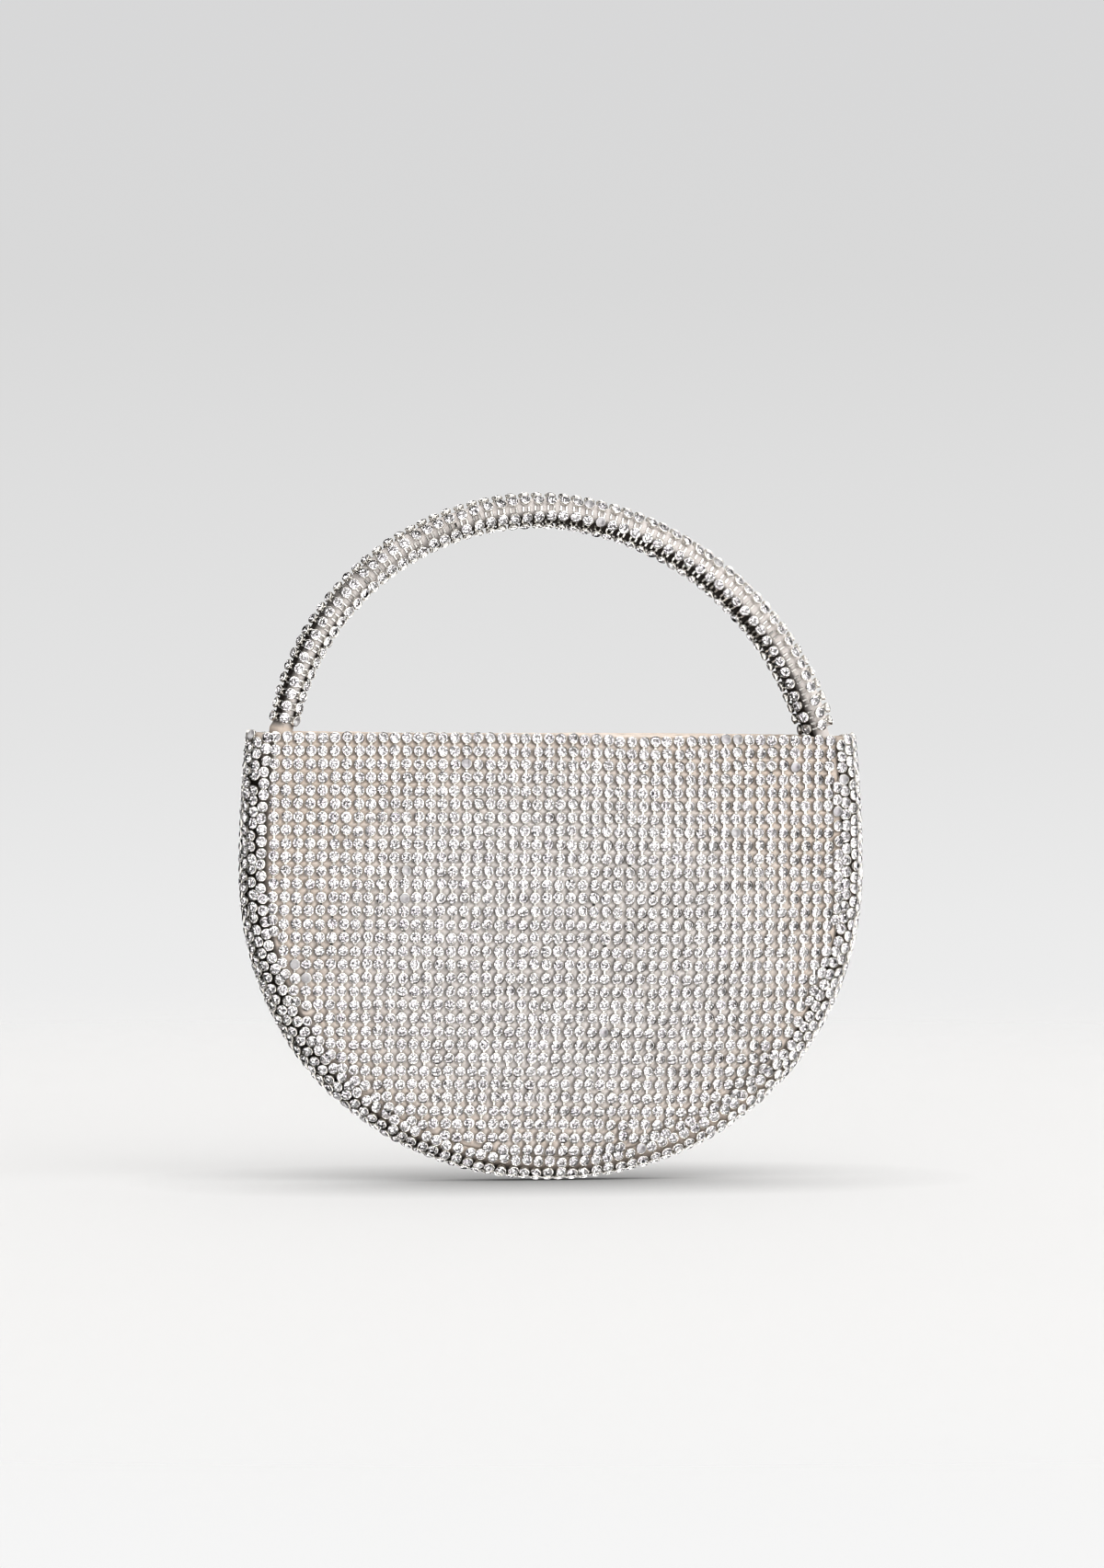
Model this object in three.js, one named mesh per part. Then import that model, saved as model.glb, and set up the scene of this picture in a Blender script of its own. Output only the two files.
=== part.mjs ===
// A half-round evening bag with an arched top handle. Two swollen cloth panels are joined by a
// U-shaped cloth gusset, the handle is a padded cloth roll, and all of it is covered with crystal
// mesh: cut stones in metal cups. Millimetres, x across, y from front to back, z up from the floor.
import * as THREE from "three";

// Outline of the bag. The seam is the line where a panel meets the gusset.
const mouthHeightLeft = 144.3;
const mouthHeightRight = 142.4;
const wideHeight = 100.1; // where the bag is widest
const seamHalfWide = 94.1; // from the middle to the seam, at the widest place
const seamHalfMouth = 91.8; // the same at the mouth
const fullness = 2.08; // exponent of the round bottom: 2 is an ellipse, more is fuller

// Layers, from the stones inwards, and how far the bag swells.
const gussetRadius = 7.4; // half-round section of the gusset, to the tops of the stones
const meshThick = 2.0; // cup and stone together
const clothThick = 1.0;
const gap = 0.3; // between pieces that lie on each other
const panelSwell = 7.7; // how far the middle of a panel stands out from its seam
const mouthSwellShare = 0.5; // how much of that is left at the mouth

// Where the bag stands, the soft bottom is deeper and squarer, and the floor presses it flat.
const pressedReach = 34; // half the length in which that shows
const pressedDeep = 1.8; // added there to the depth of the gusset's section
const pressedSquare = 1.4; // added there to the section's exponent of 2

// Handle. Its line is close to half an ellipse, leans a little to the left and splays into the gusset.
// The roll is thicker towards the right.
const archHalfSpan = 88.7;
const archRise = 88.3;
const archCentreHeight = 127.4;
const archFullness = 1.94; // exponent of the arch: 2 is an ellipse, less is more pointed
const archShift = 0.9; // to the right, above the mouth
const archLean = -0.065; // sideways for each millimetre up
const rollLeft = 3.15; // radius of the padded roll at its left end
const rollRight = 4.5; // the same at its right end
const rollTail = 3.7; // the most that fits between the panels
const handleMeshThick = 1.7;
const tailHeight = 122; // where the ends of the roll stop, inside the bag
const tailSplay = 4.9;
const freeHeight = 14; // above the mouth, where the roll has its full thickness
const meshEndLeft = 147.2; // the left foot shows a little bare cloth above the mouth
const meshEndRight = 144.2;

// Fineness of the facets.
const sideSteps = 5;
const lowSteps = 28;
const mouthSteps = 11;
const ringSteps = 5;
const arcSteps = 10;
const roundSides = 10;
const coreSteps = 40;
const sleeveSteps = 36;

const { lerp, smoothstep } = THREE.MathUtils;
const seamBottom = gussetRadius;

function mouthHeight(x) {
  return lerp(mouthHeightLeft, mouthHeightRight, (x / seamHalfMouth + 1) / 2);
}

// Signed power, for curves with an exponent other than 2.
function power(value, exponent) {
  return Math.sign(value) * Math.abs(value) ** exponent;
}

// A point of the seam on one straight side, with rise 0 at the widest place and 1 at the mouth.
function sidePoint(side, rise) {
  const x = side * lerp(seamHalfWide, seamHalfMouth, rise ** 2);
  return { x, z: lerp(wideHeight, mouthHeight(side * seamHalfMouth), rise) };
}

// A point of the seam on the round bottom, with turn 0 at the left and 1 at the right.
function lowPoint(turn) {
  const angle = turn * Math.PI;
  return {
    x: -seamHalfWide * power(Math.cos(angle), 2 / fullness),
    z: wideHeight - (wideHeight - seamBottom) * power(Math.sin(angle), 2 / fullness),
  };
}

// The seam from the left end of the mouth round the bottom to the right end, each point with the
// direction that faces out of the bag.
function seamLine() {
  const points = [];
  for (let i = 0; i < sideSteps; i++) points.push(sidePoint(-1, 1 - i / sideSteps));
  for (let i = 0; i <= lowSteps; i++) points.push(lowPoint(i / lowSteps));
  for (let i = 1; i <= sideSteps; i++) points.push(sidePoint(1, i / sideSteps));
  const last = points.length - 1;
  return points.map((point, i) => {
    if (i === 0 || i === last) return { ...point, outX: Math.sign(point.x), outZ: 0 };
    const before = points[i - 1];
    const after = points[i + 1];
    const length = Math.hypot(after.x - before.x, after.z - before.z);
    return { ...point, outX: (after.z - before.z) / length, outZ: (before.x - after.x) / length };
  });
}

// How far a panel stands out from the plane of its seam.
function swell(x, z) {
  const above = z > wideHeight;
  const height = above
    ? (z - wideHeight) / (mouthHeight(x) - wideHeight)
    : (wideHeight - z) / (wideHeight - seamBottom);
  const half = above ? lerp(seamHalfWide, seamHalfMouth, height ** 2) : seamHalfWide;
  const share = above ? 1 - (1 - mouthSwellShare) * height ** 2 : 1;
  const edge = Math.abs(x / half) ** fullness + (above ? 0 : height ** fullness);
  return panelSwell * share * Math.max(0, 1 - edge);
}

// A closed skin over loops of points, each joined to the next and folded on the shorter diagonals.
// The ends are closed by fans to their middles, or, for loops that run along one side and back along
// the other, by strips across them. Where the last loop is the first one again, the ends are open.
function skin(loops, ends) {
  const count = loops[0].length;
  const points = loops.flat();
  const index = [];
  const quad = (a, b, c, d) => {
    const shorter = points[a].distanceTo(points[c]) <= points[b].distanceTo(points[d]);
    index.push(...(shorter ? [a, b, c, a, c, d] : [a, b, d, b, c, d]));
  };
  for (let row = 0; row + 1 < loops.length; row++) {
    for (let i = 0; i < count; i++) {
      const next = (i + 1) % count;
      const low = row * count;
      const high = low + count;
      quad(low + i, low + next, high + next, high + i);
    }
  }
  const lastRow = (loops.length - 1) * count;
  if (ends === "open") {
    index.forEach((point, i) => {
      index[i] = point % lastRow;
    });
    points.length = lastRow;
  } else if (ends === "strips") {
    for (let i = 0; i + 1 < count / 2; i++) {
      const far = count - 1 - i;
      quad(far, far - 1, i + 1, i);
      quad(lastRow + i, lastRow + i + 1, lastRow + far - 1, lastRow + far);
    }
  } else {
    const middle = (loop) =>
      loop.reduce((sum, point) => sum.add(point), new THREE.Vector3()).divideScalar(count);
    points.push(middle(loops[0]), middle(loops.at(-1)));
    for (let i = 0; i < count; i++) {
      const next = (i + 1) % count;
      index.push(points.length - 2, next, i);
      index.push(points.length - 1, lastRow + i, lastRow + next);
    }
  }
  const geometry = new THREE.BufferGeometry().setFromPoints(points);
  geometry.setIndex(index);
  geometry.computeVertexNormals();
  return geometry;
}

// One layer of a panel, between two depths measured from the middle plane at the seam. Rings of
// points shrink from the panel's edge to its middle on both faces.
function panelLayer(side, outerDepth, innerDepth) {
  const edge = seamLine().map((p) => ({ x: p.x - gap * p.outX, z: p.z - gap * p.outZ }));
  const right = edge.at(-1).x;
  const left = edge[0].x;
  for (let i = 1; i < mouthSteps; i++) {
    const x = lerp(right, left, i / mouthSteps);
    edge.push({ x, z: mouthHeight(x) });
  }
  const middleHeight = (wideHeight + seamBottom + mouthHeight(0)) / 3;
  const ring = (share, depth) =>
    edge.map((p) => {
      const x = p.x * share;
      const z = lerp(middleHeight, p.z, share);
      return new THREE.Vector3(x, side * (depth + swell(x, z)), z);
    });
  const shares = Array.from({ length: ringSteps }, (_, i) => (i + 1) / ringSteps);
  const outer = shares.map((share) => ring(share, outerDepth));
  const inner = shares.map((share) => ring(share, innerDepth)).reverse();
  const loops = [...outer, ...inner];
  return skin(side < 0 ? loops.reverse() : loops, "fans");
}

// One layer of the gusset: a half-round section swept along the seam, pressed flat at the floor.
function gussetLayer(outerRadius, innerRadius) {
  const arc = (p, radius) => {
    const pressed = Math.exp(-((p.x / pressedReach) ** 2));
    const depth = radius + pressedDeep * pressed;
    const exponent = 2 + pressedSquare * pressed;
    const points = [];
    for (let i = 0; i <= arcSteps; i++) {
      const angle = lerp(-Math.PI / 2, Math.PI / 2, i / arcSteps);
      const reach = depth * Math.max(0, Math.cos(angle)) ** (2 / exponent);
      const y = radius * power(Math.sin(angle), 2 / exponent);
      const z = Math.max(p.z + p.outZ * reach, gussetRadius - radius);
      points.push(new THREE.Vector3(p.x + p.outX * reach, y, z));
    }
    return points;
  };
  const loops = seamLine().map((p) => [...arc(p, outerRadius), ...arc(p, innerRadius).reverse()]);
  return skin(loops, "strips");
}

// A point of the handle's middle line, at an angle from the top of its arch.
function handlePoint(angle) {
  const z = archCentreHeight + archRise * power(Math.cos(angle), 2 / archFullness);
  const inside = smoothstep(mouthHeightLeft - z, 0, mouthHeightLeft - tailHeight);
  const out = archHalfSpan * power(Math.sin(angle), 2 / archFullness);
  const aside = lerp(archShift, Math.sign(angle) * tailSplay, inside);
  return new THREE.Vector3(out + aside + archLean * (z - tailHeight), 0, z);
}

function archAngle(height) {
  const up = (height - archCentreHeight) / archRise;
  return Math.acos(power(up, archFullness / 2));
}

const tailAngle = archAngle(tailHeight);

// A ring of points round the middle line, some way out from the surface of the roll.
function handleRing(angle, out) {
  const middle = handlePoint(angle);
  const along = handlePoint(angle + 0.001).sub(handlePoint(angle - 0.001)).normalize();
  const full = lerp(rollLeft, rollRight, (angle / tailAngle + 1) / 2);
  const free = smoothstep(middle.z - mouthHeightLeft, 0, freeHeight);
  const radius = out + lerp(Math.min(full, rollTail), full, free);
  const points = [];
  for (let i = 0; i < roundSides; i++) {
    const turn = (-i / roundSides) * 2 * Math.PI;
    const outward = radius * Math.cos(turn);
    const y = radius * Math.sin(turn);
    points.push(new THREE.Vector3(middle.x - along.z * outward, y, middle.z + along.x * outward));
  }
  return points;
}

function handleRings(from, to, steps, out) {
  const rings = [];
  for (let i = 0; i <= steps; i++) rings.push(handleRing(lerp(from, to, i / steps), out));
  return rings;
}

function handleCore() {
  return skin(handleRings(-tailAngle, tailAngle, coreSteps, 0), "fans");
}

function handleSleeve() {
  const left = -archAngle(meshEndLeft);
  const right = archAngle(meshEndRight);
  const outer = handleRings(left, right, sleeveSteps, gap + handleMeshThick);
  const inner = handleRings(left, right, sleeveSteps, gap).reverse();
  return skin([...outer, ...inner, outer[0]], "open");
}

const creamCloth = new THREE.MeshStandardMaterial({ color: 0xd9ccba, roughness: 0.85, metalness: 0 });
const crystalMesh = new THREE.MeshStandardMaterial({ color: 0xdededf, roughness: 0.2, metalness: 0.6 });

const bag = new THREE.Group();

function add(name, geometry, material) {
  const mesh = new THREE.Mesh(geometry, material);
  mesh.name = name;
  bag.add(mesh);
}

const meshBack = gussetRadius - meshThick;
const clothFace = meshBack - gap;
const clothBack = clothFace - clothThick;

for (const [name, side] of [["front", -1], ["back", 1]]) {
  add(`${name}_cloth`, panelLayer(side, clothFace, clothBack), creamCloth);
  add(`${name}_crystal_mesh`, panelLayer(side, gussetRadius, meshBack), crystalMesh);
}
add("gusset_cloth", gussetLayer(clothFace, clothBack), creamCloth);
add("gusset_crystal_mesh", gussetLayer(gussetRadius, meshBack), crystalMesh);
add("handle_core", handleCore(), creamCloth);
add("handle_crystal_mesh", handleSleeve(), crystalMesh);

export default bag;
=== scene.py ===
import math

import bpy
import numpy as np
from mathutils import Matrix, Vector
from mathutils.kdtree import KDTree


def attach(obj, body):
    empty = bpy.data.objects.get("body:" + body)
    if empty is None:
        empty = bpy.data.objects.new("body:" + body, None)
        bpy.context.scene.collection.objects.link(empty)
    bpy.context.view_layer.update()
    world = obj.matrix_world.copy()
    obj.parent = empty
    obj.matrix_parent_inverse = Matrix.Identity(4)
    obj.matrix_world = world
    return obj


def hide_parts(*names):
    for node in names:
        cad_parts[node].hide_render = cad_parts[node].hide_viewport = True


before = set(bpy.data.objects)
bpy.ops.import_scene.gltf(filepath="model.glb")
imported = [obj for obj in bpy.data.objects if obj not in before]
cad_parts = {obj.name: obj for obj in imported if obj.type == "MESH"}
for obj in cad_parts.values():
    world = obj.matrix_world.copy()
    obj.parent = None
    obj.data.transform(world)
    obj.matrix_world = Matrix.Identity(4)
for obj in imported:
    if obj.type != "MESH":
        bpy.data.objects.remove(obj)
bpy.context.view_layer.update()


# Viewpoint. A long lens looks at the bag from three metres away, a little from its left and from
# slightly above.
looks_at = Vector((0, 0, 0.1276))
camera_turn, camera_raise = math.radians(-8), math.radians(2)
camera_distance, camera_lens = 3.0, 213.8
towards_camera = Vector((
    math.sin(camera_turn) * math.cos(camera_raise),
    -math.cos(camera_turn) * math.cos(camera_raise),
    math.sin(camera_raise),
))
bpy.ops.object.select_all(action="DESELECT")
bpy.ops.object.camera_add(
    location=looks_at + camera_distance * towards_camera,
    rotation=(-towards_camera).to_track_quat("-Z", "Y").to_euler(),
)
camera = bpy.context.object
camera.data.lens = camera_lens
camera.data.clip_start, camera.data.clip_end = 0.5, 20
bpy.context.scene.camera = camera


# Front and back walls. Each is one half-round piece of cream cloth, sewn into the gusset round its
# curved edge and cut a little full, so that it swells. The straight top edge is the mouth.
mm = 0.001
mouth_left, mouth_right = 144.3, 142.4
wide_height = 100.1
seam_half_wide, seam_half_mouth = 94.1, 91.8
seam_bottom = 7.4
fullness = 2.08
wall_swell, mouth_swell_share = 7.7, 0.5
cloth_face, cloth_thick, cloth_puff = 5.1, 1.0, 1.5


def mouth_height(x):
    return mouth_left + (mouth_right - mouth_left) * (x / seam_half_mouth + 1) / 2


def swell(x, z):
    """How far a wall stands out from the plane of its seam."""
    above = z > wide_height
    high = np.where(
        above,
        (z - wide_height) / (mouth_height(x) - wide_height),
        (wide_height - z) / (wide_height - seam_bottom),
    )
    half = seam_half_wide + np.where(above, (seam_half_mouth - seam_half_wide) * high**2, 0)
    share = np.where(above, 1 - (1 - mouth_swell_share) * high**2, 1)
    edge = np.abs(x / half) ** fullness + np.where(above, 0, np.abs(high) ** fullness)
    return wall_swell * share * np.clip(1 - edge, 0, None)


def slopes(x, z):
    """How steeply a wall swells across its width and up its height."""
    step = 0.05
    across = (swell(x + step, z) - swell(x - step, z)) / (2 * step)
    upwards = (swell(x, z + step) - swell(x, z - step)) / (2 * step)
    return across, upwards


def seam_line(stations):
    """Evenly spaced places on the seam from the left end of the mouth round to the right end, with
    the direction that faces out of the bag there."""
    rise, turn = np.linspace(1, 0, 200)[:-1], np.linspace(0, math.pi, 1200)
    side_x = seam_half_wide + (seam_half_mouth - seam_half_wide) * rise**2
    left_z = wide_height + (mouth_left - wide_height) * rise
    right_z = wide_height + (mouth_right - wide_height) * rise
    low_x = -seam_half_wide * np.sign(np.cos(turn)) * np.abs(np.cos(turn)) ** (2 / fullness)
    low_z = wide_height - (wide_height - seam_bottom) * np.sin(turn) ** (2 / fullness)
    x = np.concatenate([-side_x, low_x, side_x[::-1]])
    z = np.concatenate([left_z, low_z, right_z[::-1]])
    run = np.concatenate([[0], np.cumsum(np.hypot(np.diff(x), np.diff(z)))])
    at = stations * run[-1]
    ahead, behind = np.minimum(at + 1, run[-1]), np.maximum(at - 1, 0)
    step_x = np.interp(ahead, run, x) - np.interp(behind, run, x)
    step_z = np.interp(ahead, run, z) - np.interp(behind, run, z)
    length = np.hypot(step_x, step_z)
    return np.interp(at, run, x), np.interp(at, run, z), step_z / length, -step_x / length


seam_x, seam_z, seam_out_x, seam_out_z = seam_line(np.linspace(0, 1, 1600))


def inside_seam(x, z):
    """Distance of each place from the seam, less than nothing outside it."""
    away_x, away_z = x[:, None] - seam_x, z[:, None] - seam_z
    nearest = np.argmin(away_x**2 + away_z**2, 1)
    rows = np.arange(len(x))
    return -(away_x[rows, nearest] * seam_out_x[nearest] + away_z[rows, nearest] * seam_out_z[nearest])


# The mesh hangs in columns from the mouth, where the front dips on the right and the back waves. A cup
# has a little less room than its width, so some cups run into each other, most of them by the seam.
column_pitch, row_pitch, cup_room = 3.828, 4.30, 3.6
first_column, row_count, column_lean, column_sway = -90.3, 33, 0.0207, 0.05
front_drop, dip_depth, dip_x, dip_reach = 1.0, 0.95, 32, 17
back_drop, wave_height, wave_reach = 1.9, 0.4, 23
top_rows, top_closer, dip_made_up = 4, 0.1, 0.16
place_spread = 0.09
seam_margin, seam_inset, inset_spread, mouth_margin, seam_squeeze = 1.6, 1.7, 0.25, 1, 0.7
push_rounds, push_share, not_itself = 16, 0.3, 100
chance = np.random.default_rng(11)


def lay_out_cups(side):
    """Places of the cups on a wall, and the upper and lower ends of the links between them."""
    columns = np.arange(-2, 52)
    x = first_column + column_pitch * columns
    if side < 0:
        drop, sag = front_drop, dip_depth * np.exp(-(((x - dip_x) / dip_reach) ** 2))
    else:
        drop, sag = back_drop, wave_height * np.sin(x / wave_reach)
    z = mouth_height(x) - drop - sag
    grid_x, grid_z = [], []
    for row in range(row_count):
        grid_x.append(x + chance.normal(0, place_spread, len(x)))
        grid_z.append(z + chance.normal(0, place_spread, len(x)))
        _, slope = slopes(x, z)
        by_mouth = np.exp(-row / top_rows)
        settle = dip_made_up * sag * by_mouth
        z = z - (row_pitch - top_closer * by_mouth) / np.sqrt(1 + slope**2) + settle
        x = x - column_lean * row_pitch + column_sway * np.sin(row / 3 + columns / 9)
    grid_x, grid_z = np.array(grid_x), np.array(grid_z)
    kept = inside_seam(grid_x.ravel(), grid_z.ravel()).reshape(grid_x.shape) > seam_margin
    x, z = grid_x[kept], grid_z[kept]
    for seat in chance.permutation(len(seam_x)):
        inset = seam_inset + chance.uniform(0, inset_spread)
        new_x = seam_x[seat] - inset * seam_out_x[seat]
        new_z = seam_z[seat] - inset * seam_out_z[seat]
        nearest = np.min(np.hypot(x - new_x, z - new_z))
        if new_z < mouth_height(new_x) - mouth_margin and nearest > cup_room - seam_squeeze:
            x, z = np.append(x, new_x), np.append(z, new_z)
    for _ in range(push_rounds):
        gap_x, gap_z = x[:, None] - x, z[:, None] - z
        gap = np.hypot(gap_x, gap_z) + not_itself * np.eye(len(x))
        push = np.clip(cup_room - gap, 0, None) / gap * push_share
        x, z = x + np.sum(push * gap_x, 1), z + np.sum(push * gap_z, 1)
    pairs = kept[:-1] & kept[1:]
    upper = grid_x[:-1][pairs], grid_z[:-1][pairs]
    lower = grid_x[1:][pairs], grid_z[1:][pairs]
    return x, z, upper, lower


cup_places = {"front": lay_out_cups(-1), "back": lay_out_cups(1)}


def cloth_grid(name, across, along):
    """A flat square of cloth two units wide, and its points' places from -1 to 1."""
    bpy.ops.object.select_all(action="DESELECT")
    bpy.ops.mesh.primitive_grid_add(x_subdivisions=across, y_subdivisions=along, size=2)
    cloth = bpy.context.object
    cloth.name = cloth.data.name = name
    flat = np.empty(3 * len(cloth.data.vertices))
    cloth.data.vertices.foreach_get("co", flat)
    return cloth, flat.reshape(-1, 3)[:, 0], flat.reshape(-1, 3)[:, 1]


def shape_cloth(cloth, points, threads):
    """Moves the points to their places in millimetres and lays the threads along the UV map."""
    cloth.data.vertices.foreach_set("co", (points * mm).ravel())
    corners = np.empty(len(cloth.data.loops), dtype=np.int32)
    cloth.data.loops.foreach_get("vertex_index", corners)
    cloth.data.uv_layers[0].data.foreach_set("uv", threads[corners].ravel())
    cloth.data.update()


def thicken(cloth, thickness):
    bpy.context.view_layer.objects.active = cloth
    wall = cloth.modifiers.new("thickness", "SOLIDIFY")
    wall.thickness = thickness * mm
    wall.offset = -1
    bpy.ops.object.modifier_apply(modifier=wall.name)
    for face in cloth.data.polygons:
        face.use_smooth = True


def node(tree, kind, inputs=None, **settings):
    """A new node, with its inputs set to values or linked to other nodes' outputs."""
    new = tree.nodes.new(kind)
    for name, value in settings.items():
        setattr(new, name, value)
    for name, value in (inputs or {}).items():
        if isinstance(value, bpy.types.NodeSocket):
            tree.links.new(value, new.inputs[name])
        else:
            new.inputs[name].default_value = value
    return new


def new_material(name):
    material = bpy.data.materials.new(name)
    material.use_nodes = True
    return material, material.node_tree, material.node_tree.nodes["Principled BSDF"]


def tone_cloth(cloth, beige, painted_shade):
    """Notes for each point of a cloth how beige it is and how far painted shade darkens it."""
    for name, share in (("beige", beige), ("painted_shade", painted_shade)):
        cloth.data.attributes.new(name, "FLOAT", "POINT")
        cloth.data.attributes[name].data.foreach_set("value", share)


# The cloth is a plain weave, palest in the middle of a wall and beige towards the seams. Where its
# attribute says so it is darkened to near black: painted shade.
cream_cloth, tree, surface = new_material("cream_cloth")
place = node(tree, "ShaderNodeTexCoord")
beiged = node(tree, "ShaderNodeAttribute", attribute_name="beige")
mottle = node(tree, "ShaderNodeTexNoise", {"Vector": place.outputs["Object"], "Scale": 170.0,
                                           "Detail": 3.0})
wander = node(tree, "ShaderNodeMath", {0: mottle.outputs["Fac"], 1: 0.45, 2: beiged.outputs["Fac"]},
              operation="MULTIPLY_ADD")
beige = node(tree, "ShaderNodeMapRange", {"Value": wander.outputs[0], "From Min": 0.75,
                                          "From Max": 1.35}, interpolation_type="SMOOTHSTEP")
cream = node(tree, "ShaderNodeMix", {0: beige.outputs[0], 6: (0.94, 0.88, 0.85, 1),
                                     7: (0.92, 0.79, 0.69, 1)}, data_type="RGBA")
# Painted shade: this attribute mixes the cloth's colour towards near black.
painted_shade = node(tree, "ShaderNodeAttribute", attribute_name="painted_shade")
cloth_colour = node(tree, "ShaderNodeMix", {0: painted_shade.outputs["Fac"], 6: cream.outputs[2],
                                            7: (0.02, 0.015, 0.012, 1)}, data_type="RGBA")
threads = node(tree, "ShaderNodeVectorMath", {0: place.outputs["UV"], 1: (14.0, 14.0, 0.0)},
               operation="MULTIPLY")
thread_axes = node(tree, "ShaderNodeSeparateXYZ", {0: threads.outputs[0]})
warp = node(tree, "ShaderNodeMath", {0: thread_axes.outputs[0]}, operation="SINE")
weft = node(tree, "ShaderNodeMath", {0: thread_axes.outputs[1]}, operation="SINE")
over_under = node(tree, "ShaderNodeMath", {0: warp.outputs[0], 1: weft.outputs[0]}, operation="MULTIPLY")
# Painted shade in the hollows of the weave makes them up to a tenth darker.
hollows = node(tree, "ShaderNodeMapRange", {"Value": over_under.outputs[0], "From Min": -1.0,
                                            "To Min": 0.9, "To Max": 1.0})
woven = node(tree, "ShaderNodeVectorMath", {0: cloth_colour.outputs[2], "Scale": hollows.outputs[0]},
             operation="SCALE")
threads_up = node(tree, "ShaderNodeBump", {"Height": over_under.outputs[0], "Strength": 0.5,
                                           "Distance": 0.00012})
tree.links.new(woven.outputs[0], surface.inputs["Base Color"])
tree.links.new(threads_up.outputs[0], surface.inputs["Normal"])
surface.inputs["Roughness"].default_value = 0.85
surface.inputs["Specular IOR Level"].default_value = 0.1
surface.inputs["Sheen Weight"].default_value = 0.05

# Each wall is drawn in under its cups and puffs up between them. It has a painted shadow beside each
# cup, to the cup's lower left, and painted shade by the seam, weaker low down, and it turns beige
# outside an oval in its middle.
wall_columns, wall_rows, short_of_seam = 190, 150, 0.9997
puff_from, puff_over, puff_power, flat_by_seam = 1.2, 1.6, 1.5, 2
shadow_shift, shadow_reach, shadow_edge, shadow_share = 0.4, 2.1, 0.35, 0.5
shade_left, shade_right, shade_most = 1.8, 1.1, 0.8
shade_low, shade_rise, shade_least = 15, 35, 0.2
oval_half_wide, oval_half_high, oval_middle = 87, 71, 75

for name, side in (("front", -1), ("back", 1)):
    wall_cloth, u, v = cloth_grid(f"{name}_wall_cloth", wall_columns, wall_rows)
    u, v = short_of_seam * u, np.where(v < 0, short_of_seam * v, v)
    round_x, round_z = u * np.sqrt(1 - v**2 / 2), v * np.sqrt(1 - u**2 / 2)
    size = np.hypot(round_x, round_z)
    squared = (np.abs(round_x) ** fullness + np.abs(round_z) ** fullness) ** (1 / fullness)
    fuller = np.divide(size, squared, out=np.ones_like(size), where=size > 0)
    low_x, low_z = seam_half_wide * round_x * fuller, round_z * fuller
    high_x = u * (seam_half_wide + (seam_half_mouth - seam_half_wide) * v**2)
    x = np.where(v < 0, low_x, high_x)
    z = wide_height + np.where(v < 0, (wide_height - seam_bottom) * low_z,
                               (mouth_height(high_x) - wide_height) * v)
    cups = KDTree(len(cup_places[name][0]))
    for i, (cup_x, cup_z) in enumerate(zip(*cup_places[name][:2])):
        cups.insert((cup_x, 0, cup_z), i)
    cups.balance()
    from_cup = np.array([cups.find((px, 0, pz))[2] for px, pz in zip(x, z)])
    # Painted shadow: each cup's shadow is measured from a spot shifted to the cup's lower left.
    from_cup_shadow = np.array([cups.find((px + shadow_shift, 0, pz + shadow_shift))[2] for px, pz in zip(x, z)])
    from_seam = inside_seam(x, z)
    puff = np.clip((from_cup - puff_from) / puff_over, 0, 1) * np.clip(from_seam / flat_by_seam, 0, 1)
    y = side * (cloth_face + swell(x, z) + cloth_puff * puff**puff_power)
    # Painted shadow of the cups and painted shade along the seam darken the cloth.
    cup_shadow = shadow_share * np.clip((shadow_reach - from_cup_shadow) / shadow_edge, 0, 1)
    seam_shade = np.clip(np.where(x < 0, shade_left, shade_right) - from_seam, 0, shade_most)
    seam_shade = seam_shade * np.clip((z - shade_low) / shade_rise, shade_least, 1)
    from_middle = np.hypot(x / oval_half_wide, (z - oval_middle) / oval_half_high)
    tone_cloth(wall_cloth, from_middle, np.maximum(cup_shadow, seam_shade))
    shape_cloth(wall_cloth, np.stack([x, y, z], 1), np.stack([x, z], 1))
    if side > 0:
        wall_cloth.data.flip_normals()
    thicken(wall_cloth, cloth_thick)
    wall_cloth.data.materials.append(cream_cloth)
    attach(wall_cloth, "root")
    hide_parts(f"{name}_cloth")


# Gusset. One long strip of the same cloth joins the two walls round the sides and the bottom. It
# bows out to a half-round section, and the floor presses it flat where the bag stands.
gusset_radius = 7.4
pressed_reach, pressed_square, pressed_blend = 34, 0.25, 0.8


def gusset_points(stations, angles, radius):
    """Places on the half-round section at each station, and the directions that face outwards."""
    x, z, out_x, out_z = seam_line(stations)
    power = 2 + pressed_square * np.exp(-((x / pressed_reach) ** 2))
    reach = radius * np.clip(np.cos(angles), 0, None) ** (2 / power)
    y = radius * np.sign(np.sin(angles)) * np.abs(np.sin(angles)) ** (2 / power)
    face_out = np.abs(reach / radius) ** (power - 1)
    face_y = np.sign(y) * np.abs(y / radius) ** (power - 1)
    normal = np.stack([out_x * face_out, face_y, out_z * face_out], 1)
    normal /= np.linalg.norm(normal, axis=1)[:, None]
    low = gusset_radius - radius
    free_z = z + out_z * reach
    pressed = np.clip((low - free_z) / pressed_blend, 0, 1)[:, None]
    normal = (1 - pressed) * normal + pressed * np.array([0.0, 0.0, -1.0])
    normal /= np.linalg.norm(normal, axis=1)[:, None]
    return np.stack([x + out_x * reach, y, np.maximum(free_z, low)], 1), normal


# Painted shade on the gusset and the handle roll darkens the cloth where it faces away from the upper
# right.
upper_right = np.array([0.75, 0.0, 0.66])


def turned_away(facing, start, end):
    """How far, from 0 to 1, a cloth faces away from the upper right."""
    return np.clip((start - facing @ upper_right) / (start - end), 0, 1)


def smooth(share):
    share = np.clip(share, 0, 1)
    return share**2 * (3 - 2 * share)


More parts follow.
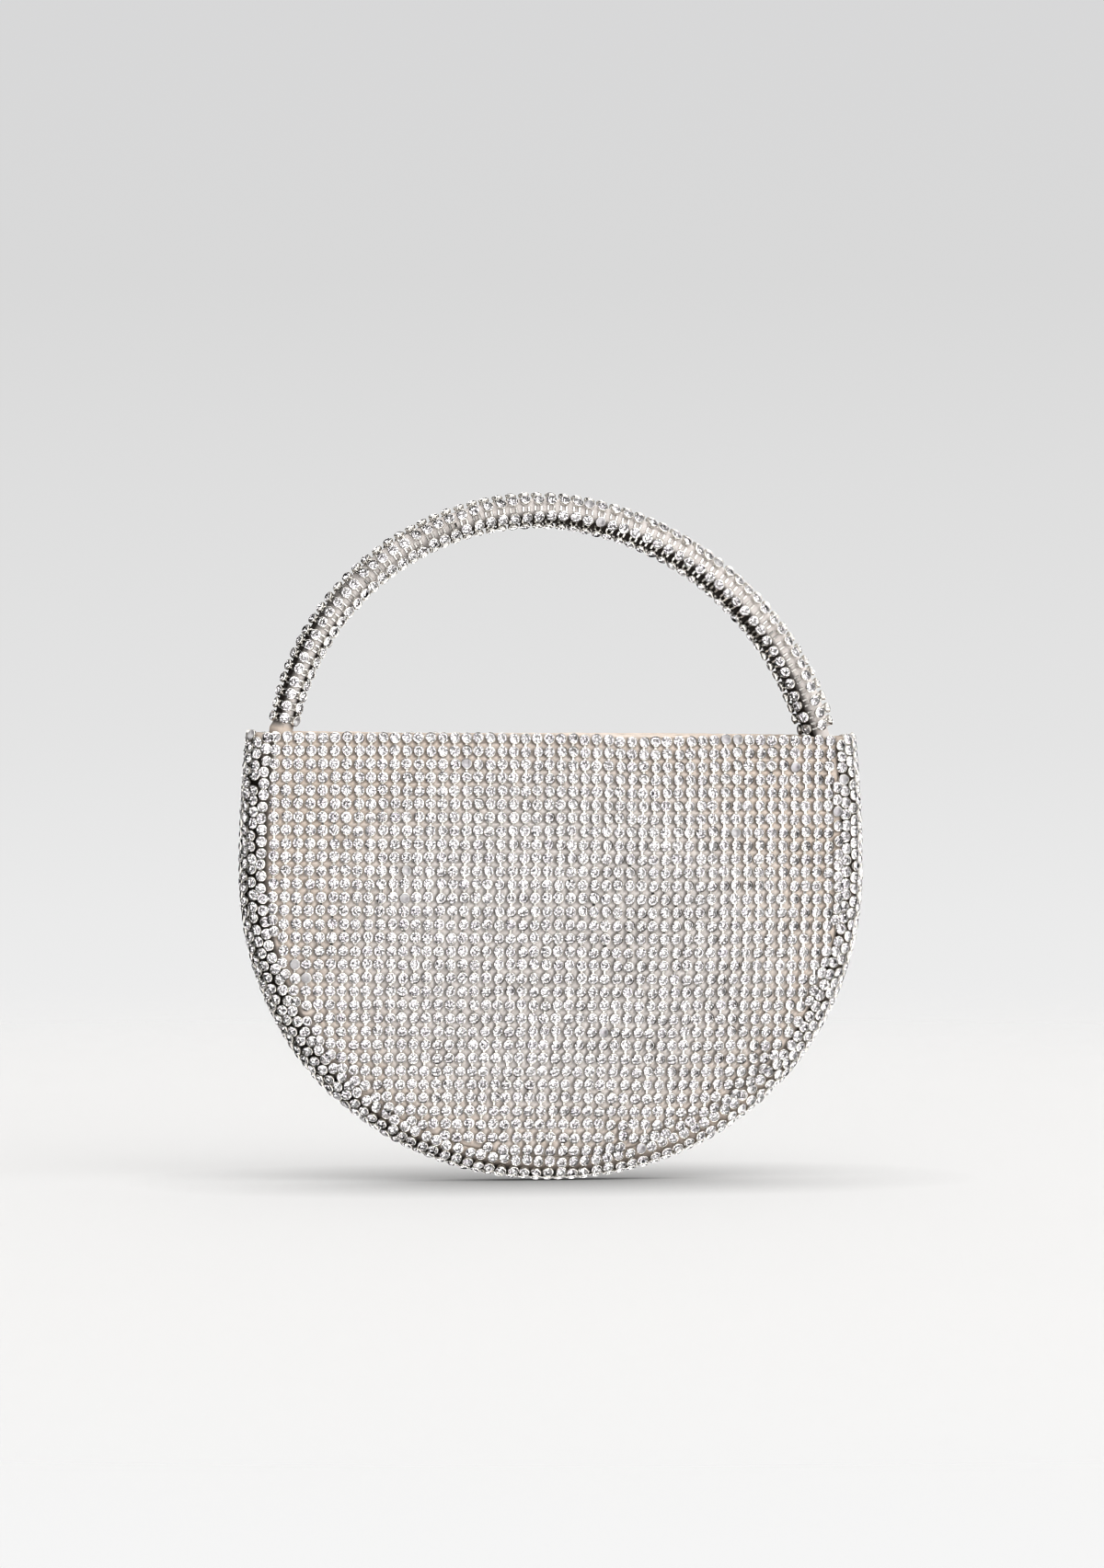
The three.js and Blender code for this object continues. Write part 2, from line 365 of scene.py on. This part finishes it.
strip_half_wide, strip_half_long, strip_beige = 8, 192, 1.2
side_from, side_over = 15, 40
seam_band, seam_blend, seam_least = 0.75, 0.2, 0.8
ends_from, ends_over, ends_paler = 136, 5, 0.7

gusset_cloth, u, v = cloth_grid("gusset_strip_cloth", 12, 150)
strip, facing = gusset_points((v + 1) / 2, u * math.pi / 2, cloth_face)
# Painted shade: up the sides the strip is darkened nearly to black, fully at its seams. Low down it is
# darkened where it faces away from the upper right, and near the mouth it is darkened less.
at_side = smooth((strip[:, 2] - side_from) / side_over)
by_seam = at_side * np.clip((np.abs(u) - seam_band) / seam_blend, seam_least, 1)
painted_shade = np.maximum(turned_away(facing, 0.2 * at_side, -0.6 + 0.35 * at_side), by_seam)
painted_shade = painted_shade * (1 - ends_paler * smooth((strip[:, 2] - ends_from) / ends_over))
tone_cloth(gusset_cloth, np.full_like(u, strip_beige), painted_shade)
shape_cloth(gusset_cloth, strip, np.stack([u * strip_half_wide, v * strip_half_long], 1))
thicken(gusset_cloth, cloth_thick)
gusset_cloth.data.materials.append(cream_cloth)
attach(gusset_cloth, "root")
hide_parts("gusset_cloth")


# Handle roll. A cord of wadding rolled up in the cream cloth makes the arch of the handle, thicker
# towards the right, and both ends run down into the gusset, where they are sewn in. The left foot is
# bare just above the mouth.
arch_half, arch_rise, arch_centre = 88.7, 88.3, 127.4
arch_fullness, arch_shift, arch_lean = 1.94, 0.9, -0.065
tail_height, tail_splay = 122, 4.9
roll_left, roll_right, roll_tail, free_height = 3.15, 4.6, 3.7, 5


def arch_angle(height):
    up = (height - arch_centre) / arch_rise
    return math.acos(math.copysign(abs(up) ** (arch_fullness / 2), up))


tail_angle = arch_angle(tail_height)


def handle_line(angle):
    """Middle line of the handle: places, the directions along it and away from its centre, and the
    roll's radius."""
    def spot(a):
        bent = 2 / arch_fullness
        z = arch_centre + arch_rise * np.sign(np.cos(a)) * np.abs(np.cos(a)) ** bent
        sunk = smooth((mouth_left - z) / (mouth_left - tail_height))
        aside = (1 - sunk) * arch_shift + sunk * np.sign(a) * tail_splay
        x = arch_half * np.sign(a) * np.abs(np.sin(a)) ** bent + aside + arch_lean * (z - tail_height)
        return np.stack([x, np.zeros_like(x), z], 1)

    along = spot(angle + 0.001) - spot(angle - 0.001)
    along /= np.linalg.norm(along, axis=1)[:, None]
    outward = np.stack([-along[:, 2], np.zeros_like(angle), along[:, 0]], 1)
    middle = spot(angle)
    full = roll_left + (roll_right - roll_left) * (angle / tail_angle + 1) / 2
    free = smooth((middle[:, 2] - mouth_left) / free_height)
    radius = free * full + (1 - free) * np.minimum(full, roll_tail)
    return middle, along, outward, radius


towards_front = np.array([0.0, -1.0, 0.0])
roll_half_round, roll_half_long = 12, 155
foot_height, foot_reach, foot_thicker = 145.0, 2.0, 1.2
fold_depth, fold_count = 0.06, 9
leg_from, leg_over = 0.5, 0.5
edge_from, edge_over = 0.4, 0.25
roll_least_shade, roll_beige, foot_beige = 0.1, 0.5, 0.8

roll, u, v = cloth_grid("handle_roll", 24, 160)
middle, along, outward, thick = handle_line(v * tail_angle)
turn = u * math.pi
bare_foot = np.exp(-(((middle[:, 2] - foot_height) / foot_reach) ** 2)) * (middle[:, 0] < 0)
folds = fold_depth * np.sin(fold_count * turn) + foot_thicker
thick = thick + folds * bare_foot * smooth((np.sin(turn) + 0.3) / 0.6)
lies = np.cos(turn)[:, None] * towards_front + np.sin(turn)[:, None] * outward
roll_threads = np.stack([u * roll_half_round, v * roll_half_long], 1)
shape_cloth(roll, middle + thick[:, None] * lies, roll_threads)
# Painted shade: the roll is darkened where it faces away from the upper right, along the edges of its left
# leg and a little all over, but not on its bare foot.
left_leg = smooth((-v * tail_angle - leg_from) / leg_over)
leg_edges = left_leg * np.clip((np.abs(np.sin(turn)) - edge_from) / edge_over, 0, 1)
painted_shade = np.maximum(turned_away(lies, 0.05, -0.3), leg_edges)
painted_shade = np.clip(painted_shade, roll_least_shade, 1) * (1 - bare_foot)
tone_cloth(roll, roll_beige + foot_beige * bare_foot, painted_shade)
bpy.ops.object.mode_set(mode="EDIT")
bpy.ops.mesh.select_all(action="SELECT")
bpy.ops.mesh.remove_doubles(threshold=0.02 * mm)
bpy.ops.mesh.fill_holes(sides=0)
bpy.ops.mesh.normals_make_consistent(inside=False)
bpy.ops.object.mode_set(mode="OBJECT")
for face in roll.data.polygons:
    face.use_smooth = True
roll.data.materials.append(cream_cloth)
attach(roll, "root")
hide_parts("handle_core")


# Stone, cup and link. A stone is a round crystal, cut here with ten sides, with a foiled back. It sits
# in a cup pressed from silver-coloured metal, whose rim is rolled over the stone's edge, and short bars
# link the cups.
stone_sides, cup_sides = 10, 11
table_radius, table_height = 0.96, 1.97
girdle_radius, girdle_height = 1.72, 1.42
point_height = 0.12

bpy.ops.object.select_all(action="DESELECT")
bpy.ops.mesh.primitive_cone_add(
    vertices=stone_sides, radius1=0, radius2=girdle_radius, depth=girdle_height - point_height,
    end_fill_type="NOTHING", location=(0, 0, (girdle_height + point_height) / 2),
)
stone = bpy.context.object
bpy.ops.object.transform_apply(location=True, rotation=True, scale=True)
bpy.ops.object.mode_set(mode="EDIT")
bpy.ops.mesh.primitive_circle_add(
    vertices=stone_sides, radius=table_radius, fill_type="NGON", location=(0, 0, table_height),
    rotation=(0, 0, math.pi / stone_sides),
)
bpy.ops.mesh.select_mode(type="EDGE")
bpy.ops.mesh.select_all(action="DESELECT")
bpy.ops.mesh.select_non_manifold()
bpy.ops.mesh.bridge_edge_loops()
bpy.ops.mesh.quads_convert_to_tris(quad_method="SHORTEST_DIAGONAL")
bpy.ops.mesh.select_all(action="SELECT")
bpy.ops.mesh.normals_make_consistent(inside=False)
bpy.ops.object.mode_set(mode="OBJECT")

cup_profile = [(1.38, 0.0), (1.85, 1.0), (1.79, 1.49), (1.61, 1.63), (1.73, 1.32)]
bpy.ops.object.select_all(action="DESELECT")
bpy.ops.mesh.primitive_circle_add(vertices=cup_sides, radius=cup_profile[0][0])
cup = bpy.context.object
bpy.ops.object.mode_set(mode="EDIT")
bpy.ops.mesh.select_all(action="SELECT")
for (before, low), (after, high) in zip(cup_profile, cup_profile[1:]):
    bpy.ops.mesh.extrude_edges_move(TRANSFORM_OT_translate={"value": (0, 0, high - low)})
    bpy.ops.transform.resize(value=(after / before, after / before, 1))
bpy.ops.mesh.select_mode(type="EDGE")
bpy.ops.mesh.select_all(action="DESELECT")
bpy.ops.mesh.select_non_manifold()
bpy.ops.mesh.bridge_edge_loops()
bpy.ops.mesh.select_all(action="SELECT")
bpy.ops.mesh.normals_make_consistent(inside=False)
bpy.ops.object.mode_set(mode="OBJECT")

link_long, link_wide, link_thick = 1.6, 1.0, 0.45
link_height, link_bevel = 0.55, 0.16
bpy.ops.object.select_all(action="DESELECT")
bpy.ops.mesh.primitive_cube_add(size=1, location=(0, 0, link_height))
bar = bpy.context.object
bar.scale = (link_long, link_wide, link_thick)
bpy.ops.object.transform_apply(location=True, rotation=True, scale=True)
bpy.ops.object.mode_set(mode="EDIT")
bpy.ops.mesh.select_all(action="DESELECT")
bpy.ops.object.mode_set(mode="OBJECT")
for edge in bar.data.edges:
    ends = [bar.data.vertices[i].co for i in edge.vertices]
    edge.select = all(end.z > link_height for end in ends) and abs(ends[0].x - ends[1].x) > 1
bpy.ops.object.mode_set(mode="EDIT")
bpy.ops.mesh.bevel(offset=link_bevel, segments=1)
bpy.ops.object.mode_set(mode="OBJECT")


def shape_of(model):
    """The points and faces of a model, and which faces lie below the girdle. It is then put away."""
    points = np.array([point.co for point in model.data.vertices])
    faces = [list(face.vertices) for face in model.data.polygons]
    backs = [face.center.z < girdle_height - 0.01 for face in model.data.polygons]
    bpy.data.objects.remove(model)
    return points, faces, backs


stone_points, stone_faces, foiled = shape_of(stone)
cup_points, cup_faces, _ = shape_of(cup)
bar_points, bar_faces, _ = shape_of(bar)

# The stone is clear glass, a few of them faintly lilac, smoky or milky.
clear_crystal, tree, surface = new_material("clear_crystal")
tint = node(tree, "ShaderNodeAttribute", attribute_name="stone_tint")
place = node(tree, "ShaderNodeTexCoord")
smear = node(tree, "ShaderNodeTexNoise", {"Vector": place.outputs["Object"], "Scale": 900.0})
haze = node(tree, "ShaderNodeMapRange", {"Value": smear.outputs["Fac"], "From Min": 0.45,
                                         "From Max": 0.8, "To Min": 0.0, "To Max": 0.015})
milky = node(tree, "ShaderNodeMath", {0: tint.outputs["Alpha"], 1: 0.5, 2: haze.outputs[0]},
             operation="MULTIPLY_ADD")
tree.links.new(tint.outputs["Color"], surface.inputs["Base Color"])
tree.links.new(milky.outputs[0], surface.inputs["Roughness"])
surface.inputs["IOR"].default_value = 1.56
surface.inputs["Transmission Weight"].default_value = 1.0

# The foil on the back is a thin film of silver under lacquer.
silver_foil, tree, surface = new_material("silver_foil")
place = node(tree, "ShaderNodeTexCoord")
worn = node(tree, "ShaderNodeTexNoise", {"Vector": place.outputs["Object"], "Scale": 420.0})
foil_colour = node(tree, "ShaderNodeMix", {0: worn.outputs["Fac"], 6: (0.98, 0.97, 0.98, 1),
                                           7: (0.94, 0.93, 0.95, 1)}, data_type="RGBA")
tree.links.new(foil_colour.outputs[2], surface.inputs["Base Color"])
surface.inputs["Metallic"].default_value = 1.0
surface.inputs["Roughness"].default_value = 0.03

# The cups and links are plated and tumbled, bright on the rims and duller in patches.
plated_metal, tree, surface = new_material("plated_metal")
place = node(tree, "ShaderNodeTexCoord")
patches = node(tree, "ShaderNodeTexNoise", {"Vector": place.outputs["Object"], "Scale": 260.0,
                                            "Detail": 4.0})
metal_colour = node(tree, "ShaderNodeMix", {0: patches.outputs["Fac"], 6: (0.81, 0.80, 0.78, 1),
                                            7: (0.65, 0.63, 0.60, 1)}, data_type="RGBA")
dull = node(tree, "ShaderNodeMapRange", {"Value": patches.outputs["Fac"], "From Min": 0.35,
                                         "From Max": 0.75, "To Min": 0.06, "To Max": 0.22})
tree.links.new(metal_colour.outputs[2], surface.inputs["Base Color"])
tree.links.new(dull.outputs[0], surface.inputs["Roughness"])
surface.inputs["Metallic"].default_value = 1.0


def frames(normals, runs, spin=None, tilt=0.0):
    """Turns for copies whose height points along the normal and whose length along the run."""
    along = runs - np.sum(runs * normals, 1)[:, None] * normals
    along /= np.linalg.norm(along, axis=1)[:, None]
    across = np.cross(normals, along)
    if tilt:
        lean = chance.normal(0, tilt, (len(normals), 2))
        normals = normals + lean[:, :1] * along + lean[:, 1:] * across
        normals /= np.linalg.norm(normals, axis=1)[:, None]
        along = along - np.sum(along * normals, 1)[:, None] * normals
        along /= np.linalg.norm(along, axis=1)[:, None]
        across = np.cross(normals, along)
    if spin is not None:
        along, across = (
            np.cos(spin)[:, None] * along + np.sin(spin)[:, None] * across,
            -np.sin(spin)[:, None] * along + np.cos(spin)[:, None] * across,
        )
    return np.stack([along, across, normals], 2)


def copies(name, points, faces, places, turns, materials, backs=None, tints=None):
    """One mesh of a copy of a shape at each place."""
    laid = np.einsum("nij,vj->nvi", turns, points) + places[:, None, :]
    count, size = len(places), len(points)
    joined = [[i + size * copy for i in face] for copy in range(count) for face in faces]
    mesh = bpy.data.meshes.new(name)
    mesh.from_pydata((laid.reshape(-1, 3) * mm).tolist(), [], joined)
    for material in materials:
        mesh.materials.append(material)
    if backs:
        mesh.polygons.foreach_set("material_index", np.tile(np.array(backs, dtype=np.int32), count))
    if tints is not None:
        mesh.attributes.new("stone_tint", "FLOAT_COLOR", "POINT")
        mesh.attributes["stone_tint"].data.foreach_set("color", np.repeat(tints, size, 0).ravel())
    mesh.update()
    piece = bpy.data.objects.new(name, mesh)
    bpy.context.collection.objects.link(piece)
    return piece


glass_tint, tint_spread, milky_share = 0.76, 0.012, 0.006
lilac = np.array([1.0, 1.4, 0.6])
rim_angle = math.radians(38)


def set_stones(group, node_name, places, normals, runs, tilt, links=None, milky=()):
    """Cups with their stones on a surface, and bars between them, as the mesh of one CAD node."""
    count = len(places)
    turns = frames(normals, runs, chance.uniform(0, 2 * math.pi, count), tilt)
    tints = np.ones((count, 4))
    tints[:, :3] = glass_tint - np.abs(chance.normal(0, tint_spread, (count, 1))) * lilac
    tints[:, 3] = chance.uniform(0, 1, count) < milky_share
    tints[list(milky), 3] = 1
    stones = copies(f"{group}_stones", stone_points, stone_faces, places, turns,
                    [clear_crystal, silver_foil], foiled, tints)
    cups = copies(f"{group}_cups", cup_points, cup_faces, places, turns, [plated_metal])
    pieces = [stones, cups]
    if links is not None:
        spots, ups, lengths, wide = links
        pieces.append(copies(f"{group}_links", bar_points * np.array([1, wide, 1]), bar_faces, spots,
                             frames(ups, lengths), [plated_metal]))
    for piece in pieces[1:]:
        bpy.ops.object.select_all(action="DESELECT")
        piece.select_set(True)
        bpy.context.view_layer.objects.active = piece
        bpy.ops.object.shade_smooth_by_angle(angle=rim_angle)
    for piece in pieces:
        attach(piece, "root")
        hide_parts(node_name)


# Crystal mesh on the walls. Straight rows of cups run along the mouth and hang one below the other
# on their links. Round the seam the last cups are pushed in tightly, and some cloth shows.
mesh_back, wall_tilt, row_slope = 5.4, 0.08, -0.0105
milky_x, milky_reach, milky_drop = 57.4, 3.9, 3.2


def wall_normals(x, z, side):
    slope_x, slope_z = slopes(x, z)
    normals = np.stack([-slope_x, np.full_like(x, side), -slope_z], 1)
    return normals / np.linalg.norm(normals, axis=1)[:, None]


for name, side in (("front", -1), ("back", 1)):
    x, z, (upper_x, upper_z), (lower_x, lower_z) = cup_places[name]
    places = np.stack([x, side * (mesh_back + swell(x, z)), z], 1)
    runs = np.tile([1.0, 0.0, row_slope], (len(x), 1))
    half_x, half_z = (upper_x + lower_x) / 2, (upper_z + lower_z) / 2
    spots = np.stack([half_x, side * (mesh_back + swell(half_x, half_z)), half_z], 1)
    hang = np.stack([upper_x - lower_x, np.zeros_like(half_x), upper_z - lower_z], 1)
    links = spots, wall_normals(half_x, half_z, side), hang, 1.0
    by_mouth = np.flatnonzero((z > mouth_height(x) - milky_drop) & (np.abs(x - milky_x) < milky_reach))
    set_stones(f"{name}_wall", f"{name}_crystal_mesh", places, wall_normals(x, z, side), runs, wall_tilt,
               links, by_mouth if side < 0 else ())


# Crystal mesh on the gusset. Rows of cups follow the strip from one end of the mouth to the other,
# close together and staggered. There are seven rows at the sides, and the middle one leaves off at the
# bottom. The rows are closer than the cups are wide, so many cups run into each other.
strip_rows, strip_cups, strip_length = 7, 103, 393
side_angles = np.array([-81, -54, -27, 0, 27, 54, 81])
low_angles = np.array([-81, -46, -14.5, 0, 14.5, 46, 81])
middle_row, middle_stops, low_reach = 3, 0.12, 30
first_share, end_share = 0.3, 0.003
along_spread, angle_spread, gusset_tilt = 0.1, 0.02, 0.12
stone_top, station_step = 2.0, 0.001

row = np.tile(np.arange(strip_rows), strip_cups)
stations = np.repeat((np.arange(strip_cups) + first_share) / strip_cups, strip_rows)
seam_height = seam_line(stations)[1]
low = np.clip(1 - (seam_height - seam_bottom) / low_reach, 0, 1)
stagger = (1 - low) * (row % 2) * 0.5 / strip_cups
stations = stations + stagger + chance.normal(0, along_spread, len(row)) / strip_length
stations = np.clip(stations, end_share, 1 - end_share)
angles = np.radians((1 - low) * side_angles[row] + low * low_angles[row])
kept = (row != middle_row) | (low < middle_stops)
stations, angles = stations[kept], (angles + chance.normal(0, angle_spread, len(row)))[kept]
places, normals = gusset_points(stations, angles, mesh_back)
ahead, _ = gusset_points(stations + station_step, angles, mesh_back)
behind, _ = gusset_points(stations - station_step, angles, mesh_back)
lowest = places[:, 2] + stone_top * np.minimum(normals[:, 2], 0) - np.sqrt(1 - normals[:, 2] ** 2)
places[:, 2] -= np.minimum(lowest, 0)
set_stones("gusset", "gusset_crystal_mesh", places, normals, ahead - behind, gusset_tilt)


# Crystal mesh on the handle. A sleeve of six rows is drawn over the roll and twists a little on the
# way over the arch. Its cups are linked round the roll, and cloth shows between the rows.
sleeve_left, sleeve_right = 147.2, 144.2
sleeve_cups, sleeve_rows, row_turn = 59, 6, 60
sleeve_spread, turn_spread, sleeve_tilt = 0.12, 0.02, 0.1
cups_above, links_above, link_aside, link_narrow = 0.05, -0.2, 0.95, 0.8
twist_shares, twist_turns = [0, 0.35, 0.5, 0.65, 0.8, 1], [8, 26, 43, 51, 44, 17]

fine = np.linspace(-arch_angle(sleeve_left), arch_angle(sleeve_right), 800)
fine_places = handle_line(fine)[0]
run = np.concatenate([[0], np.cumsum(np.linalg.norm(np.diff(fine_places, axis=0), axis=1))])
share = np.repeat((np.arange(sleeve_cups) + 0.5) / sleeve_cups, sleeve_rows)
row = np.tile(np.arange(sleeve_rows), sleeve_cups)
share = share + chance.normal(0, sleeve_spread, len(share)) / run[-1]
twist = np.interp(share, twist_shares, twist_turns)


def sleeve(share, turn, above):
    """Places on the sleeve, and the directions out of the roll, along it and round it."""
    middle, along, outward, radius = handle_line(np.interp(share * run[-1], run, fine))
    lies = np.cos(turn)[:, None] * towards_front + np.sin(turn)[:, None] * outward
    across = -np.sin(turn)[:, None] * towards_front + np.cos(turn)[:, None] * outward
    return middle + (radius + above)[:, None] * lies, lies, along, across


turn = np.radians(twist + row_turn * row) + chance.normal(0, turn_spread, len(row))
places, normals, along, _ = sleeve(share, turn, cups_above)
share = np.concatenate([share - link_aside / run[-1], share + link_aside / run[-1]])
spots, ups, _, across = sleeve(share, np.tile(turn, 2) + math.pi / sleeve_rows, links_above)
set_stones("handle", "handle_crystal_mesh", places, normals, along, sleeve_tilt,
           (spots, ups, across, link_narrow))


# Stage. A pale floor fades out round the bag, glows a little and isn't mirrored in the stones. Where the
# camera sees it, it has a painted contact shadow round the bag. Round it stands a tent of soft white
# light with dark patches, most of them on the bag's left, and a dark spot at the lens.
floor_radius, fade_from, fade_to = 1.6, 0.45, 1.2
floor_seen, floor_unseen = (0.4, 0.4, 0.4, 1), (0.57, 0.57, 0.57, 1)
floor_glow, contact_shadow_reach = 0.99, 0.07
bpy.ops.object.select_all(action="DESELECT")
bpy.ops.mesh.primitive_circle_add(vertices=96, radius=floor_radius, fill_type="NGON")
floor = bpy.context.object
floor.name = "floor"
pale_floor, tree, surface = new_material("pale_floor")
place = node(tree, "ShaderNodeTexCoord")
distance = node(tree, "ShaderNodeVectorMath", {0: place.outputs["Object"]}, operation="LENGTH")
fade = node(tree, "ShaderNodeMapRange", {"Value": distance.outputs[1], "From Min": fade_from,
                                         "From Max": fade_to, "To Min": 1.0, "To Max": 0.0},
            interpolation_type="SMOOTHSTEP")
tree.links.new(fade.outputs[0], surface.inputs["Alpha"])
# Painted contact shadow: for camera rays the floor's colour, and so its glow, is darkened near the bag by
# ambient occlusion.
close = node(tree, "ShaderNodeAmbientOcclusion", {"Color": floor_seen, "Distance": contact_shadow_reach}, samples=8)
seen = node(tree, "ShaderNodeLightPath").outputs["Is Camera Ray"]
paleness = node(tree, "ShaderNodeMix", {0: seen, 6: floor_unseen, 7: close.outputs["Color"]},
                data_type="RGBA")
tree.links.new(paleness.outputs[2], surface.inputs["Base Color"])
tree.links.new(paleness.outputs[2], surface.inputs["Emission Color"])
surface.inputs["Emission Strength"].default_value = floor_glow
surface.inputs["Roughness"].default_value = 0.9
surface.inputs["Specular IOR Level"].default_value = 0.2
floor.data.materials.append(pale_floor)
floor.visible_glossy = floor.visible_transmission = False

tent = bpy.data.worlds.new("light_tent")
bpy.context.scene.world = tent
tent.use_nodes = True
tree = tent.node_tree
tree.nodes.clear()
direction = node(tree, "ShaderNodeTexCoord").outputs["Generated"]
axes = node(tree, "ShaderNodeSeparateXYZ", {0: direction})


def shine(towards, start, end, low, high):
    """Light that rises smoothly from low to high as a direction turns towards another."""
    turned = node(tree, "ShaderNodeVectorMath", {0: direction, 1: towards}, operation="DOT_PRODUCT")
    return node(tree, "ShaderNodeMapRange", {"Value": turned.outputs["Value"], "From Min": start,
                                             "From Max": end, "To Min": low, "To Max": high},
                interpolation_type="SMOOTHSTEP").outputs[0]


def times(a, b):
    return node(tree, "ShaderNodeMath", {0: a, 1: b}, operation="MULTIPLY").outputs[0]


def plus(a, b):
    return node(tree, "ShaderNodeMath", {0: a, 1: b}, operation="ADD").outputs[0]


front = shine((0, -1, 0), -0.3, 0.3, 1.42, 2.15)
right = shine((0.55, -0.7, 0.45), 0.72, 0.92, 0.0, 0.3)
left = shine((-1, 0, 0), 0.4, 0.9, 0.0, 1.1)
below = shine((0, 0, -1), 0.1, 0.7, 0.0, 1.0)
lens = shine(tuple(towards_camera), 0.9965, 0.9985, 1.0, 0.2)
roof = shine((0, 0, 1), 0.6, 0.92, 0.0, 0.5)
patch_edge, patch_light = 0.015, 0.01
clutter = node(tree, "ShaderNodeTexNoise", {"Vector": direction, "Scale": 15.0, "Detail": 1.0})
covered = shine((-1, 0, 0), 0.35, 0.7, 0.468, 0.65)
gaps = node(tree, "ShaderNodeMapRange", {"Value": clutter.outputs["Fac"], "From Min": covered,
                                         "From Max": plus(covered, patch_edge), "To Min": patch_light,
                                         "To Max": 1.0}).outputs[0]
sheets = plus(plus(front, plus(left, right)), below)
light = plus(times(times(sheets, lens), gaps), roof)
studio = node(tree, "ShaderNodeBackground", {"Color": (1.0, 0.985, 0.965, 1), "Strength": light})
shade = node(tree, "ShaderNodeMapRange", {"Value": axes.outputs[2], "From Min": -0.12, "From Max": 0.05})
backdrop_colour = node(tree, "ShaderNodeValToRGB", {0: shade.outputs[0]})
stops = backdrop_colour.color_ramp.elements
stops[0].position, stops[0].color = 0.0, (0.922, 0.922, 0.922, 1)
stops[1].position, stops[1].color = 1.0, (0.686, 0.686, 0.69, 1)
for spot, grey in ((0.27, 0.88), (0.415, 0.831), (0.53, 0.776), (0.7, 0.73), (0.82, 0.693)):
    stop = stops.new(spot)
    stop.color = (grey, grey, grey, 1)
backdrop = node(tree, "ShaderNodeBackground", {"Color": backdrop_colour.outputs[0], "Strength": 1.0})
seen = node(tree, "ShaderNodeLightPath").outputs["Is Camera Ray"]
either = node(tree, "ShaderNodeMixShader", {0: seen, 1: studio.outputs[0], 2: backdrop.outputs[0]})
node(tree, "ShaderNodeOutputWorld", {"Surface": either.outputs[0]})

bpy.ops.object.select_all(action="DESELECT")
key_place, key_aim = Vector((0.9, -1.3, 1.5)), Vector((0, 0, 0.09))
bpy.ops.object.light_add(type="AREA", location=key_place)
key_light = bpy.context.object
key_light.rotation_euler = (key_aim - key_light.location).to_track_quat("-Z", "Y").to_euler()
key_light.data.size = 1.5
key_light.data.energy = 9
bpy.context.scene.view_settings.view_transform = "Standard"
bpy.context.scene.cycles.filter_width = 1.0
